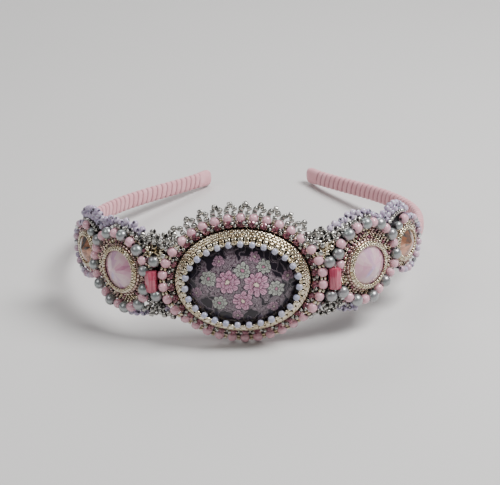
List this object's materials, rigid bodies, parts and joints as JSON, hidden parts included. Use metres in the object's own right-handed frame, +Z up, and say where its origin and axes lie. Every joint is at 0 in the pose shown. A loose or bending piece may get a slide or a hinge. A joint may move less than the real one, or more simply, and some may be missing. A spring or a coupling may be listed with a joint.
{
  "type": "beaded headband",
  "caption": "Horseshoe hair band wrapped in ribbon, with a bead-embroidered front: an oval cabochon medallion between round cut stones framed by pearls.",
  "frame": {"origin": "on the table, under the middle of the headband's bounding box as it lies on its front medallion and its two ends", "axes": "+Z up from the table; -Y is the decorated front; +X is to the right as seen from the front"},
  "size_m": [0.1294, 0.1436, 0.0503],
  "materials": {
    "ribbon": "matte woven ribbon, dusty pink",
    "foundation_cloth": "matte black felted cloth",
    "printed_glass": "clear polished glass over a printed paper back",
    "gold_beads": "metal-plated glass, pale gold, polished",
    "claret_crystal": "polished, faceted",
    "bronze_beads": "metal-plated glass, bronze and claret",
    "silver_beads": "silver-lined glass, polished",
    "pink_beads": "opaque glass, satin",
    "grey_pearl": "opaque pearl coat, grey, satin to glossy",
    "rose_glass": "translucent rose, polished",
    "opal_glass": "milky pink opal, polished facets",
    "peach_glass": "clear peach, polished facets",
    "lavender_crystal": "translucent lavender, polished"
  },
  "bodies": {
    "root": {"hair_band": "ribbon", "foundation_cloth": "foundation_cloth", "centre_cabochon": "printed_glass", "centre_bezel": "gold_beads", "side_bezel_left": "gold_beads", "side_bezel_right": "gold_beads", "outer_bezel_left": "gold_beads", "outer_bezel_right": "gold_beads", "centre_crystal_ring": "claret_crystal", "side_seed_ring_left": "bronze_beads", "side_seed_ring_right": "bronze_beads", "centre_picot_edge": "silver_beads", "pink_bead_ring": "pink_beads", "side_bead_string_left": "grey_pearl", "side_bead_string_right": "grey_pearl", "outer_bead_string_left": "grey_pearl", "outer_bead_string_right": "grey_pearl", "join_pearl_upper_inner_left": "grey_pearl", "join_pearl_upper_inner_right": "grey_pearl", "join_pearl_upper_outer_left": "grey_pearl", "join_pearl_upper_outer_right": "grey_pearl", "join_pearl_lower_left": "grey_pearl", "join_pearl_lower_right": "grey_pearl", "tube_bead_left": "rose_glass", "tube_bead_right": "rose_glass", "side_stone_left": "opal_glass", "side_stone_right": "opal_glass", "outer_stone_left": "peach_glass", "outer_stone_right": "peach_glass", "side_edging_left": "lavender_crystal", "side_edging_right": "lavender_crystal"}
  },
  "joints": []
}
